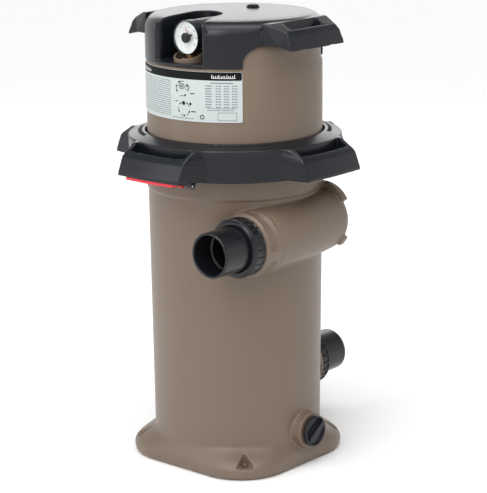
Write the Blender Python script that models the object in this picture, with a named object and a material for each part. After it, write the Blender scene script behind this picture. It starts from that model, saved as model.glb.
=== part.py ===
"""Cartridge filter housing: ported tank, lift-off head, lock ring, gauge, valves, unions and cartridge.

+Z is up, -Y is the front (gauge, label and upper union) and +X is the port side. The origin is the
centre of the underside of the base. Lengths below are in millimetres; the mesh helpers turn them
into metres.
"""
import math

import bmesh
import bpy
from mathutils import Matrix, Vector

MM = 0.001
GAP = 0.3                     # clearance between neighbouring pieces
ROUND = 40                    # sides of the large turned pieces
MEDIUM = 28                   # sides of ports, nuts and tails
SMALL = 16                    # sides of knobs, pins and stems
DIAL_SIDES = 20

# Tank
BASE_HALF = 140.0             # half the width of the square foot
BASE_CORNER = 80.0            # corner radius of the foot
BASE_EDGE = 12.0              # height of the foot's upright rim
TANK_FOOT_R = 131.2
TANK_TOP_R = 135.0
TANK_STEP_Z = 431.0           # shoulder where the wall thickens towards the neck
TANK_NECK_R = 137.0
TANK_BORE = 128.5
TANK_FLOOR = 14.0
TANK_TOP = 492.0
NECK_FLANGE = 150.0
BOLT_OFFSET = 104.0           # anchor bolt holes, from the tank's axis along X and Y
BOLT_R = 5.0

# Ports and unions
UPPER_AXIS = (116.0, 370.0)   # x and z of the upper port's axis
BARREL_R = 50.0               # radius of the barrel at the port
BARREL_FRONT = 81.0
BARREL_BACK = 67.0
BARREL_WALL = 7.0
UPPER_FACE = 116.3            # y of the upper collar's end face, towards -Y
LOWER_Z = 106.0
LOWER_FACE = 161.0            # y of the lower collar's end face, towards +Y
PORT_BORE = 30.2
STUB_R = 41.4
STUB_LENGTH = 18.3
COLLAR_R = 49.0
COLLAR_DEPTH = 38.0
NUT_R = 45.0
NUT_LENGTH = 25.0
TAIL_R = 34.4
TAIL_END = 76.5

# Drain
DRAIN_YZ = (7.0, 56.0)
DRAIN_BOSS_R = 29.0
DRAIN_FACE = 146.0            # x of the drain boss's end face
DRAIN_BORE = 14.0
PLUG_R = 24.5

# Head, cover and label
HEAD_FOOT = TANK_TOP + 0.4
HEAD_R = 135.0
HEAD_WALL = 6.0
FLANGE_TOP = 502.0
SKIRT_R = 136.0
SKIRT_FOOT = 629.0
COVER_BORE = 133.3            # inner radius of the cover's skirt
DOME_TOP = 700.0
LABEL_LOW, LABEL_HIGH = 550.0, 625.0
LABEL_ANGLE = 46.0            # half the label's wrap about the front, in degrees
COVER_HANDLE_HALF = 62.0
ARCH_TOP = 661.4              # top of the opening in the skirt under each cover grip

# Lock ring
RING_TOP = 519.0
RING_LOW = 464.0
RING_R = 164.0
RING_LIP = 138.2
RING_BORE = 160.0
HANDLE_REACH = 196.0
HANDLE_HALF = 62.0
LUG_COUNT = 8
LUG_HALF = 9.0                # half the width of each lug, in degrees
LUG_TOP = 481.0
LEVER_PIVOT = (-166.0, 461.0)  # y and z of the safety lever's pin
LEVER_BORE = 2.3

# Gauge and pocket
POCKET_FLOOR = 634.0
POCKET_LINER = 3.2            # wall of the cover round the pocket
HEAD_POCKET = 4.5             # how far the head's pocket stands off the cover's
GAUGE_Z = 669.0
GAUGE_R = 25.8
GAUGE_FACE = -110.0
STEM_Y = -97.0
STEM_BORE = 5.2
NEEDLE_REST = 24.0            # the needle's angle at rest, in degrees left of straight up
POINTER_REST = -65.0          # the service pointer's angle at rest, to the right
COWL_BACK = 60.0              # distance of the gauge cowl's back end in front of the axis
BOSS_TOP = 638.0
CUP_Y, CUP_R = -101.0, 24.0    # the head's cup round the gauge stem

# Air relief valve
RELIEF_Y = 45.0

# Cartridge and plumbing inside
CARTRIDGE_R = 112.0
CARTRIDGE_LOW = 152.0
CARTRIDGE_HIGH = 600.0
CORE_R = 38.0
PLEATS = 32

BLACK = (0.028, 0.030, 0.031)
TAN = (0.262, 0.210, 0.163)
RUBBER = (0.012, 0.012, 0.013)
WHITE = (0.80, 0.81, 0.79)


def clear_scene():
    for item in list(bpy.data.objects):
        bpy.data.objects.remove(item, do_unlink=True)


def material(name, colour, roughness=0.5, metallic=0.0):
    made = bpy.data.materials.get(name)
    if made is None:
        made = bpy.data.materials.new(name)
        made.use_nodes = True
        shader = made.node_tree.nodes["Principled BSDF"]
        shader.inputs["Base Color"].default_value = (*colour, 1.0)
        shader.inputs["Roughness"].default_value = roughness
        shader.inputs["Metallic"].default_value = metallic
    return made


def tan():
    return material("tan_plastic", TAN, 0.45)


def black():
    return material("black_plastic", BLACK, 0.35)


def rubber():
    return material("rubber", RUBBER, 0.7)


def white(name="white_plastic"):
    return material(name, WHITE, 0.5)


def to_object(name, shape, finish):
    """Makes an object from a bmesh in millimetres, with round stretches shaded smooth."""
    bmesh.ops.recalc_face_normals(shape, faces=shape.faces)
    bmesh.ops.scale(shape, vec=(MM, MM, MM), verts=shape.verts)
    mesh = bpy.data.meshes.new(name)
    shape.to_mesh(mesh)
    shape.free()
    mesh.materials.append(finish)
    mesh.shade_smooth()
    mesh.set_sharp_from_angle(angle=math.radians(32))
    made = bpy.data.objects.new(name, mesh)
    bpy.context.scene.collection.objects.link(made)
    return made


def place(shape, origin, direction):
    """Turns a shape drawn along +Z so that +Z points along direction, and moves it to origin."""
    turn = Vector((0, 0, 1)).rotation_difference(Vector(direction)).to_matrix().to_4x4()
    bmesh.ops.transform(shape, matrix=Matrix.Translation(origin) @ turn, verts=shape.verts)
    return shape


def loft(rings, closed=False):
    """Skins rings of equal length; closed joins the last ring to the first, else the ends are capped."""
    shape = bmesh.new()
    rows = [[shape.verts.new(point) for point in ring] for ring in rings]
    pairs = list(zip(rows, rows[1:])) + ([(rows[-1], rows[0])] if closed else [])
    for low, high in pairs:
        for i in range(len(low)):
            j = (i + 1) % len(low)
            shape.faces.new((low[i], low[j], high[j], high[i]))
    if not closed:
        shape.faces.new(rows[0][::-1])
        shape.faces.new(rows[-1])
    return shape


def lathe(profile, sides, closed=False, ribs=None):
    """Turns (radius, height) points about Z; ribs lists each side's radius factor for ribbed rows."""
    rings = []
    for radius, height, *flag in profile:
        ring = []
        for i in range(sides):
            angle = math.tau * i / sides
            reach = radius * (ribs[i] if ribs and flag else 1.0)
            ring.append((reach * math.cos(angle), reach * math.sin(angle), height))
        rings.append(ring)
    return loft(rings, closed)


def disc(radius, low, high, sides=SMALL):
    return lathe([(radius, low), (radius, high)], sides)


def tube(outer, inner, low, high, sides=MEDIUM):
    return lathe([(outer, low), (outer, high), (inner, high), (inner, low)], sides, closed=True)


def prism(outline, low, high):
    return loft([[(x, y, z) for x, y in outline] for z in (low, high)])


def torus(radius, section, height, sides=MEDIUM, around=6):
    points = []
    for i in range(around):
        angle = math.tau * i / around
        points.append((radius + section * math.cos(angle), height + section * math.sin(angle)))
    return lathe(points, sides, closed=True)


def arc(radius, start, end, steps):
    """Points on a circle about the origin between two angles in degrees."""
    turn = (end - start) / steps
    angles = [math.radians(start + turn * i) for i in range(steps + 1)]
    return [(radius * math.cos(a), radius * math.sin(a)) for a in angles]


def sector(inner, outer, low, high, middle, half, steps=2):
    """A curved block between two radii, centred on an angle in degrees."""
    edge = arc(outer, middle - half, middle + half, steps)
    return prism(edge + arc(inner, middle + half, middle - half, steps), low, high)


def combine(target, tool, operation="UNION"):
    """Joins or cuts target with a shape in millimetres or a finished object, which is used up."""
    if isinstance(tool, bmesh.types.BMesh):
        tool = to_object("tool", tool, target.data.materials[0])
    step = target.modifiers.new("step", "BOOLEAN")
    step.operation = operation
    step.object = tool
    ready = target.evaluated_get(bpy.context.evaluated_depsgraph_get())
    result = bpy.data.meshes.new_from_object(ready)
    target.modifiers.remove(step)
    target.data = result
    result.name = target.name
    bpy.data.objects.remove(tool, do_unlink=True)
    return target


def cut(target, tool):
    return combine(target, tool, "DIFFERENCE")


def set_origin(item, point):
    """Moves an object's origin to a point in millimetres and leaves its surface where it is."""
    shift = Vector(point) * MM
    item.data.transform(Matrix.Translation(-shift))
    item.location = shift
    return item


def foot_radius(angle):
    """Distance from the axis to the rounded square foot's edge."""
    folded = abs((angle + math.pi / 4) % (math.pi / 2) - math.pi / 4)
    flat = BASE_HALF - BASE_CORNER
    if BASE_HALF * math.tan(folded) <= flat:
        return BASE_HALF / math.cos(folded)
    reach = flat * math.sqrt(2)
    off = folded - math.pi / 4
    return reach * math.cos(off) + math.sqrt(BASE_CORNER ** 2 - (reach * math.sin(off)) ** 2)


def foot_rings():
    """The foot's rim and the moulded slope that turns the square foot into the round tank."""
    steps = [(0.0, 0.0), (BASE_EDGE, 0.0), (20.0, 0.1), (29.0, 0.42), (36.0, 0.7), (44.0, 1.0)]
    rings = []
    for height, blend in steps:
        ring = []
        for i in range(ROUND):
            angle = math.tau * i / ROUND
            reach = foot_radius(angle) * (1 - blend) + TANK_FOOT_R * blend
            ring.append((reach * math.cos(angle), reach * math.sin(angle), height))
        rings.append(ring)
    return rings


def circle(radius, height, sides=ROUND):
    return [(x, y, height) for x, y in arc(radius, 0, 360 * (sides - 1) / sides, sides - 1)]


def tank_outside():
    """The tank's outer surface from the foot to the neck flange, filled solid."""
    outer = [(TANK_TOP_R, TANK_STEP_Z), (TANK_NECK_R, TANK_STEP_Z + 2), (TANK_NECK_R, 474.0),
             (NECK_FLANGE, LUG_TOP + 1.5), (NECK_FLANGE, TANK_TOP)]
    return loft(foot_rings() + [circle(r, z) for r, z in outer])


def tank_inside():
    return lathe([(TANK_BORE - 16, TANK_FLOOR), (TANK_BORE - 4, TANK_FLOOR + 12),
                  (TANK_BORE, TANK_STEP_Z), (TANK_BORE, TANK_TOP + 10)], ROUND)


def union_stub(face):
    """The collar and threaded stub that a union screws on, drawn along +Z from the collar's face."""
    return lathe([(COLLAR_R, face - COLLAR_DEPTH), (COLLAR_R, face), (STUB_R, face),
                  (STUB_R, face + STUB_LENGTH)], MEDIUM)


def seal_groove(face):
    end = face + STUB_LENGTH
    return tube(37.9, 33.1, end - 4, end + 1)


def barrel(rows):
    """A barrel along Y that rises towards the back, from (y, lift, radius) rows."""
    x, z = UPPER_AXIS
    rings = []
    for y, lift, radius in rows:
        rings.append([(x + px, y, z + lift + pz) for px, pz in arc(radius, 0, 360 - 360 / MEDIUM, MEDIUM - 1)])
    return loft(rings)


def barrel_rows(wall=0.0):
    """The upper barrel's outer rows, or those of its chamber a wall's thickness inside."""
    rows = [(-BARREL_FRONT, 0.0, BARREL_R), (-40.0, 4.0, BARREL_R + 2.0), (40.0, 9.0, BARREL_R + 1.5),
            (BARREL_BACK, 11.0, BARREL_R), (BARREL_BACK + 14, 11.0, BARREL_R - 6)]
    return [(y, lift, radius - wall) for y, lift, radius in (rows[:-1] if wall else rows)]


def tank_body():
    body = to_object("tank_body", tank_outside(), tan())
    x, z = UPPER_AXIS
    front, back = (0, -1, 0), (0, 1, 0)
    combine(body, barrel(barrel_rows()))
    combine(body, place(union_stub(UPPER_FACE), (x, 0, z), front))
    combine(body, place(union_stub(LOWER_FACE), (0, 0, LOWER_Z), back))
    for middle, half, proud in ((62, 24, 9), (-38, 9, 3)):
        pad = sector(BARREL_R - 4, BARREL_R + proud, -4, 12, middle, half, 3)
        spin = Matrix.Rotation(math.pi / 2, 4, "X")
        spot = (x, BARREL_BACK + 6, z + barrel_rows()[-1][1])
        bmesh.ops.transform(pad, matrix=Matrix.Translation(spot) @ spin, verts=pad.verts)
        combine(body, pad)
    dy, dz = DRAIN_YZ
    combine(body, place(disc(DRAIN_BOSS_R, 118, DRAIN_FACE, 24), (0, dy, dz), (1, 0, 0)))
    return bore_tank(body)


def bore_tank(body):
    """Cuts the water ways, seal grooves, anchor holes and neck lugs."""
    x, z = UPPER_AXIS
    dy, dz = DRAIN_YZ
    front, back = (0, -1, 0), (0, 1, 0)
    cut(body, tank_inside())
    cut(body, tube(146.3, 139.7, TANK_TOP - 5.5, TANK_TOP + 5, ROUND))
    cut(body, barrel(barrel_rows(BARREL_WALL)))
    cut(body, place(disc(PORT_BORE, BARREL_FRONT - 8, UPPER_FACE + 40, MEDIUM), (x, 0, z), front))
    cut(body, place(disc(PORT_BORE, 118, LOWER_FACE + 40, MEDIUM), (0, 0, LOWER_Z), back))
    cut(body, place(seal_groove(UPPER_FACE), (x, 0, z), front))
    cut(body, place(seal_groove(LOWER_FACE), (0, 0, LOWER_Z), back))
    cut(body, place(disc(DRAIN_BORE, 110, DRAIN_FACE + 10), (0, dy, dz), (1, 0, 0)))
    for sx in (-1, 1):
        for sy in (-1, 1):
            hole = place(disc(BOLT_R, -5, 60, 12), (sx * BOLT_OFFSET, sy * BOLT_OFFSET, 0), (0, 0, 1))
            cut(body, hole)
    for i in range(LUG_COUNT):
        combine(body, sector(146.8, 158.0, LUG_TOP + 1.5, TANK_TOP - 1, lug_angle(i), LUG_HALF))
    return body


def lug_angle(i):
    return 360 * (i + 0.5) / LUG_COUNT


def union_parts(name, face, origin, direction):
    """A union's spinning nut, its pipe tail and the seal between the tail and the stub."""
    ribs = [1.0 if i % 2 else 0.958 for i in range(MEDIUM)]
    nut = [(NUT_R - 2, face + 1), (NUT_R, face + 3, 1), (NUT_R, face + NUT_LENGTH - 4, 1),
           (NUT_R - 3.5, face + NUT_LENGTH), (TAIL_R + 0.8, face + NUT_LENGTH),
           (TAIL_R + 0.8, face + 21.7), (STUB_R + 1.1, face + 21.7), (STUB_R + 1.1, face + 1)]
    made = to_object(name + "_nut", place(lathe(nut, MEDIUM, True, ribs), origin, direction), black())
    set_origin(made, origin)
    low = face + STUB_LENGTH + GAP
    tail = [(40.6, low), (40.6, low + 2.6), (TAIL_R, low + 2.6), (TAIL_R, face + TAIL_END),
            (PORT_BORE, face + TAIL_END), (PORT_BORE, low)]
    to_object(name + "_tail", place(lathe(tail, MEDIUM, True), origin, direction), black())
    ring = torus(35.5, 1.75, face + STUB_LENGTH - 1.95)
    to_object(name + "_seal", place(ring, origin, direction), rubber())


def drain_parts():
    """The drain plug with its wing bar and threaded shank, and the seal under its rim."""
    dy, dz = DRAIN_YZ
    origin, out = (0, dy, dz), (1, 0, 0)
    rim = DRAIN_FACE + 3.4
    profile = [(DRAIN_BORE - 0.6, DRAIN_FACE - 14), (DRAIN_BORE - 0.6, rim), (PLUG_R, rim),
               (PLUG_R, rim + 5), (PLUG_R - 3, rim + 6), (PLUG_R - 3, rim + 3.5)]
    plug = to_object("drain_plug", place(lathe(profile, 24), origin, out), black())
    bar = [(-4, -19), (4, -19), (4, 19), (-4, 19)]
    wing = prism(bar, rim + 2, rim + 9)
    bmesh.ops.rotate(wing, matrix=Matrix.Rotation(math.radians(35), 3, "Z"), verts=wing.verts)
    combine(plug, place(wing, origin, out))
    set_origin(plug, origin)
    seal = to_object("drain_plug_seal", place(torus(18.5, 1.5, DRAIN_FACE + 1.8, 24), origin, out), rubber())
    set_origin(seal, origin)


def dome(offset, low):
    """The head's wall, its set-in band and its shouldered dome, as (radius, height) points."""
    points = [(HEAD_R, low), (HEAD_R, 625.5), (132.6, SKIRT_FOOT + 0.5), (132.2, 648), (129.5, 662),
              (122, 675), (105, 684), (6, 688)]
    return [(r - offset, z - (offset if z > low else 0)) for r, z in points]


def grown(outline, by):
    """An anticlockwise plan outline with every edge moved outwards by the same distance."""
    moved = []
    for i, (x, y) in enumerate(outline):
        before, after = outline[i - 1], outline[(i + 1) % len(outline)]
        first = Vector((y - before[1], before[0] - x)).normalized()
        second = Vector((after[1] - y, x - after[0])).normalized()
        step = (first + second) * by / (1 + first.dot(second))
        moved.append((x + step.x, y + step.y))
    return moved


def pocket_outline(grow=0.0):
    """Plan of the gauge pocket: wide at the front, with a right wall that slants in to a blunt back."""
    plan = [(46, -160), (46, -128), (30, -86), (21, -56), (14, -42), (2, -32), (-13, -27), (-33, -31),
            (-41, -45), (-41, -60), (-37, -128), (-37, -160)]
    return grown(plan, grow) if grow else plan


def filter_head():
    flange = [(NECK_FLANGE, HEAD_FOOT), (NECK_FLANGE, FLANGE_TOP)]
    head = to_object("filter_head", lathe(flange + dome(0, FLANGE_TOP), ROUND), tan())
    floor = SKIRT_FOOT - 0.7
    cut(head, prism(pocket_outline(HEAD_POCKET), floor, 720))
    inside = to_object("inside", lathe([(HEAD_R - HEAD_WALL, HEAD_FOOT - 5)] + dome(HEAD_WALL, 500),
                                       ROUND), tan())
    cut(inside, prism(pocket_outline(HEAD_POCKET + HEAD_WALL), floor - HEAD_WALL, 720))
    cut(head, inside)
    combine(head, place(tube(CUP_R, CUP_R - 2.5, floor - 2, BOSS_TOP + 2.5), (0, CUP_Y, 0), (0, 0, 1)))
    combine(head, place(disc(15.0, floor - 3, BOSS_TOP), (0, STEM_Y, 0), (0, 0, 1)))
    cut(head, place(disc(STEM_BORE, floor - 15, BOSS_TOP + 5), (0, STEM_Y, 0), (0, 0, 1)))
    combine(head, place(disc(15.0, 680, 690.5), (0, RELIEF_Y, 0), (0, 0, 1)))
    cut(head, place(disc(STEM_BORE, 665, 700), (0, RELIEF_Y, 0), (0, 0, 1)))
    return head


def cover_handle(side):
    """A grip block at +X or -X: an outer face that leans in and a sloping top."""
    half = COVER_HANDLE_HALF
    rows = [(120.0, ARCH_TOP + 0.6, 70.0), (141.0, ARCH_TOP + 0.6, 66.0), (166.0, 656.5, half),
            (157.0, 679.0, half - 1), (152.0, 684.0, half - 4), (124.0, 694.0, 68.0), (118.0, 694.0, 70.0)]
    return loft([[(side * r, sign * half, z) for r, z, half in rows] for sign in (-1, 1)])


def hand_slot(side):
    """The cutter for a cover hand hole, which leans outwards as it goes down."""
    low = [(side * r, y, 640.0) for r, y in ((139.5, -44), (158, -37), (158, 37), (139.5, 44))]
    high = [(side * r, y, 705.0) for r, y in ((126.5, -38), (143, -43), (143, 43), (126.5, 38))]
    return loft([low, high])


def cover_outside():
    """The cover's upright skirt, rounded shoulder and low dome."""
    across, up, low = 20.0, 22.0, 675.0
    bend = [(SKIRT_R - across + across * x, low + up * y) for x, y in arc(1.0, 0, 84, 3)]
    return lathe([(SKIRT_R, SKIRT_FOOT)] + bend + [(100.0, 698.2), (80.0, 699.0), (8.0, DOME_TOP)], ROUND)


def arch_cutter(side):
    """Cuts the skirt away under a grip."""
    right = [(93.5, SKIRT_FOOT - 9), (93.0, 638.0), (91.0, 646.5), (85.3, 655.4), (76.2, 660.5), (63.0, ARCH_TOP)]
    outline = [(-y, z) for y, z in right] + right[::-1]
    return loft([[(side * x, y, z) for y, z in outline] for x in (94, 141)])


def head_cover():
    cover = to_object("head_cover", cover_outside(), black())
    for side in (-1, 1):
        combine(cover, cover_handle(side))
    cut(cover, lathe([(COVER_BORE, SKIRT_FOOT - 5), (COVER_BORE, 648.3), (130.8, 663.2), (123.0, 676.6),
                      (105.4, 686.2), (6.0, 690.2)], ROUND))
    liner = to_object("liner", prism(pocket_outline(POCKET_LINER), SKIRT_FOOT, 692.0), black())
    combine(liner, disc(SKIRT_R - 0.8, SKIRT_FOOT - 5, 720, ROUND), "INTERSECT")
    combine(cover, liner)
    cut(cover, prism(pocket_outline(), POCKET_FLOOR, 720))
    combine(cover, place(disc(GAUGE_R - 1, COWL_BACK, -GAUGE_FACE - 20, MEDIUM), (0, 0, GAUGE_Z), (0, -1, 0)))
    cut(cover, place(disc(CUP_R + 1, SKIRT_FOOT - 5, POCKET_FLOOR + 5), (0, CUP_Y, 0), (0, 0, 1)))
    cut(cover, place(disc(15.6, 682, 692.5), (0, RELIEF_Y, 0), (0, 0, 1)))
    cut(cover, place(disc(9.0, 685, 720), (0, RELIEF_Y, 0), (0, 0, 1)))
    for side in (-1, 1):
        cut(cover, hand_slot(side))
        cut(cover, arch_cutter(side))
    return cover


def label(name, low, high, half):
    edge = arc(HEAD_R + 0.9, -90 - half, -90 + half, 20)
    back = arc(HEAD_R + GAP, -90 + half, -90 - half, 20)
    return to_object(name, prism(edge + back, low, high), white("label"))


def turned_about_axis(outline, quarter):
    """Quarter turns of a plan outline about the tank's axis."""
    for _ in range(quarter):
        outline = [(-y, x) for x, y in outline]
    return outline


def ring_handle(quarter):
    """One of the four grips of the lock ring, drawn at -Y and turned in quarter turns."""
    rows = [(0.0, RING_LOW + 3, 0.0), (0.0, RING_LOW + 8, 0.0), (-9.0, 494.0, 0.0), (-18.0, 501.5, -2.0),
            (-35.0, 511.5, 0.0)]
    rings = []
    for shift, z, narrow in rows:
        half = HANDLE_HALF + narrow
        reach = HANDLE_REACH + shift
        front = [(-half, -reach), (-half / 2, -reach - 2.5), (half / 2, -reach - 2.5), (half, -reach)]
        plan = front + [(74.0, -135.0), (-74.0, -135.0)]
        rings.append([(x, y, z) for x, y in turned_about_axis(plan, quarter)])
    return loft(rings)


def ring_hole(quarter):
    inner = arc(RING_R + 1.2, -90 + 19.5, -90 - 19.5, 6)
    plan = [(-55.0, -176.0), (-30.0, -179.0), (30.0, -179.0), (55.0, -176.0)] + inner
    return prism(turned_about_axis(plan, quarter), RING_LOW - 10, RING_TOP + 10)


def lock_ring():
    wall = [(RING_R, RING_LOW), (RING_R, 510.0), (162.5, 513.0), (141.5, RING_TOP),
            (20.0, RING_TOP), (20.0, RING_LOW)]
    ring = to_object("lock_ring", lathe(wall, ROUND, closed=True), black())
    for quarter in range(4):
        combine(ring, ring_handle(quarter))
    cut(ring, disc(RING_BORE, RING_LOW - 5, FLANGE_TOP + 0.6, ROUND))
    cut(ring, disc(RING_LIP, RING_LOW - 5, RING_TOP + 5, ROUND))
    for quarter in range(4):
        cut(ring, ring_hole(quarter))
    for i in range(LUG_COUNT):
        middle = lug_angle(i) + 180 / LUG_COUNT
        combine(ring, sector(151.6, 161.5, LUG_TOP - 8, LUG_TOP, middle, LUG_HALF))
    for sign in (-1, 1):
        ear = [(-158.5, 471.0), (-171.0, 471.0), (-171.0, 457.3), (-158.5, 457.3)]
        combine(ring, loft([[(x, y, z) for y, z in ear] for x in (sign * 57, sign * 62)]))
    cut(ring, place(disc(LEVER_BORE, -70, 70, 16), (0, *LEVER_PIVOT), (1, 0, 0)))
    return ring


def lever_parts():
    """The red safety lever under the front grip, its pin and the coil spring on the pin."""
    y, z = LEVER_PIVOT
    plan = [(-44.0, -171.5), (-48.0, -190.0), (-46.0, -195.0), (46.0, -195.0), (48.0, -190.0), (44.0, -171.5)]
    lever = to_object("safety_lever", prism(plan, RING_LOW - 1.9, RING_LOW + 2.5), red())
    for sign in (-1, 1):
        eye = [(-162.0, 457.0), (-170.0, 457.0), (-176.0, 462.5), (-176.0, 465.5), (-171.5, 465.5),
               (-162.0, 463.8)]
        combine(lever, loft([[(x, py, pz) for py, pz in eye] for x in (sign * 34, sign * 44)]))
    cut(lever, place(disc(LEVER_BORE, -70, 70, 16), (0, y, z), (1, 0, 0)))
    set_origin(lever, (0, y, z))
    pin = to_object("lever_pin", place(disc(2.0, -63, 63, 16), (0, y, z), (1, 0, 0)), steel())
    set_origin(pin, (0, y, z))
    coil(y, z)


def coil(y, z):
    """The lever's torsion spring: a helix of round wire about the pin."""
    turns, start, pitch, radius, wire = 5, -8.0, 3.2, 2.8, 0.45
    per_turn, around = 8, 5
    rings = []
    for i in range(turns * per_turn + 1):
        angle = math.tau * i / per_turn
        centre = Vector((start + pitch * i / per_turn, y + radius * math.cos(angle), z + radius * math.sin(angle)))
        out = Vector((0, math.cos(angle), math.sin(angle)))
        side = Vector((1, 0, 0))
        spin = [math.tau * k / around for k in range(around)]
        rings.append([centre + wire * (math.cos(s) * out + math.sin(s) * side) for s in spin])
    to_object("lever_spring", loft(rings), steel())


def steel():
    return material("stainless_steel", (0.55, 0.56, 0.57), 0.3, 1.0)


def red():
    return material("red_plastic", (0.62, 0.025, 0.035), 0.4)


def brass():
    return material("brass", (0.62, 0.36, 0.12), 0.3, 1.0)


def face_on(shape, angle):
    """Puts a shape drawn from straight up at its angle on the gauge's face, anticlockwise from the front."""
    bmesh.ops.rotate(shape, matrix=Matrix.Rotation(math.radians(angle), 3, "Z"), verts=shape.verts)
    return place(shape, (0, 0, GAUGE_Z), (0, -1, 0))


def gauge_parts():
    """The pressure gauge: case, bezel, dial, needle, lens, service pointer knob and stem."""
    centre, front = (0, 0, GAUGE_Z), (0, -1, 0)
    face = -GAUGE_FACE
    case = [(GAUGE_R - 1, face - 19), (GAUGE_R, face - 18), (GAUGE_R, face - 4), (23.4, face - 4),
            (23.4, face - 10), (1.9, face - 10), (1.9, face - 19)]
    to_object("gauge_case", place(lathe(case, DIAL_SIDES, True), centre, front), black())
    dial = tube(23.0, 1.6, face - 9.6, face - 8.4, DIAL_SIDES)
    to_object("gauge_dial", place(dial, centre, front), white())
    hand = [(-1.6, -4.5), (1.6, -4.5), (1.6, 3.0), (0.35, 17.5), (-0.35, 17.5), (-1.6, 3.0)]
    needle = to_object("gauge_needle", face_on(prism(hand, face - 7.9, face - 7.0), NEEDLE_REST), red())
    combine(needle, place(disc(1.2, face - 17, face - 6.4, 12), centre, front))
    set_origin(needle, centre)
    lens = to_object("gauge_lens", place(tube(23.0, 2.6, face - 5.4, face - 3.6, DIAL_SIDES), centre, front),
                     material("clear_lens", (0.9, 0.95, 0.95), 0.05))
    bezel = [(GAUGE_R, face - 3.7), (GAUGE_R, face - 0.8), (GAUGE_R - 1.2, face), (22.0, face),
             (21.6, face - 3.3), (23.3, face - 3.3), (23.3, face - 3.7)]
    to_object("gauge_bezel", place(lathe(bezel, DIAL_SIDES, True), centre, front), black())
    knob = to_object("service_pointer", place(lathe([(2.2, face - 6.0), (2.2, face - 3.2), (8.0, face - 3.2),
                                                     (8.0, face + 2.0), (7.0, face + 3.0)], SMALL),
                                              centre, front), black())
    lobe = [(-2.2, 5.0), (2.2, 5.0), (0.8, 13.0), (-0.8, 13.0)]
    combine(knob, face_on(prism(lobe, face - 2.8, face + 0.8), POINTER_REST))
    set_origin(knob, centre)
    low = GAUGE_Z - GAUGE_R
    stem = [(4.8, 628.0), (4.8, BOSS_TOP + GAP), (7.0, BOSS_TOP + GAP), (7.0, low - 0.4)]
    to_object("gauge_stem", place(lathe(stem, 12), (0, STEM_Y, 0), (0, 0, 1)), brass())


def relief_parts():
    """The manual air relief valve in the crown of the head: body, seal and turning knob."""
    origin, up = (0, RELIEF_Y, 0), (0, 0, 1)
    body = [(4.8, 672.0), (4.8, 690.9), (8.0, 690.9), (8.0, 695.0), (6.2, 695.0), (6.2, 699.5),
            (4.4, 699.5), (4.4, 689.0), (1.5, 687.0), (1.5, 672.0)]
    to_object("relief_valve_body", place(lathe(body, SMALL, True), origin, up), brass())
    to_object("relief_seal", place(torus(2.9, 0.9, 692.6, 16), origin, up), rubber())
    knob = [(1.7, 691.0), (1.7, 700.3), (10.4, 700.3), (10.4, 701.8), (8.6, 702.0, 1), (8.6, 703.4, 1),
            (7.4, 704.2)]
    ribs = [1.0 if i % 2 else 0.94 for i in range(SMALL)]
    item = to_object("relief_knob", place(lathe(knob, SMALL, ribs=ribs), origin, up), black())
    set_origin(item, (0, RELIEF_Y, 700.0))


def pleated_outline(outer, inner, count):
    points = []
    for i in range(count):
        for radius, shift in ((outer, 0.0), (outer, 0.3), (inner, 0.5), (inner, 0.8)):
            angle = math.tau * (i + shift) / count
            points.append((radius * math.cos(angle), radius * math.sin(angle)))
    return points


def cartridge_parts():
    """The cartridge: pleated media between two moulded caps, on a perforated core."""
    low, high = CARTRIDGE_LOW, CARTRIDGE_HIGH
    media = to_object("cartridge_media", prism(pleated_outline(CARTRIDGE_R - 3, 62.0, PLEATS),
                                               low + 12.3, high - 12.3),
                      material("filter_fabric", (0.83, 0.86, 0.88), 0.9))
    cut(media, disc(CORE_R + GAP + 0.2, low, high, 32))
    core = tube(CORE_R, CORE_R - 3, low + 12.3, high - 12.3, 32)
    item = to_object("cartridge_core", core, white())
    for row in range(4):
        for side in range(2):
            window = sector(10, 60, low + 30 + row * 100, low + 100 + row * 100, 90 * side, 16, 1)
            both = window.copy()
            bmesh.ops.rotate(both, matrix=Matrix.Rotation(math.pi, 3, "Z"), verts=both.verts)
            cut(item, window)
            cut(item, both)
    for name, foot, top in (("cartridge_bottom_cap", low, low + 12), ("cartridge_top_cap", high - 12, high)):
        bore = 31.5 if name == "cartridge_bottom_cap" else 8.0
        cap = [(CARTRIDGE_R, foot), (CARTRIDGE_R, top), (bore, top), (bore, foot)]
        to_object(name, lathe(cap, MEDIUM, closed=True), material("cap_urethane", (0.10, 0.22, 0.45), 0.6))


def plumbing_parts():
    """The outlet elbow that the cartridge stands on, and the vent tube with its strainer."""
    sides = 24
    elbow = to_object("outlet_elbow", disc(44.0, TANK_FLOOR + GAP, CARTRIDGE_LOW - GAP, sides), white())
    combine(elbow, place(disc(36.0, 0, 119.5, sides), (0, 0, LOWER_Z), (0, 1, 0)))
    combine(elbow, disc(31.0, CARTRIDGE_LOW - 5, CARTRIDGE_LOW + 9, sides))
    cut(elbow, disc(26.0, 72, CARTRIDGE_LOW + 20, sides))
    cut(elbow, place(disc(28.5, -7, 140, sides), (0, 0, LOWER_Z), (0, 1, 0)))
    cut(elbow, disc(6.6, 40, 80, SMALL))
    vent = tube(6.0, 4.0, 42.0, 640.0, SMALL)
    to_object("vent_tube", vent, white())
    strainer = lathe([(12.0, 640.3), (13.0, 642.0), (13.0, 668.0), (10.0, 671.0), (3.0, 671.0), (3.0, 668.0),
                      (10.5, 666.0), (10.5, 644.0), (3.8, 644.0), (3.8, 640.3)], SMALL, closed=True)
    to_object("vent_strainer", strainer, material("strainer_mesh", (0.30, 0.31, 0.32), 0.6))


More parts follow.
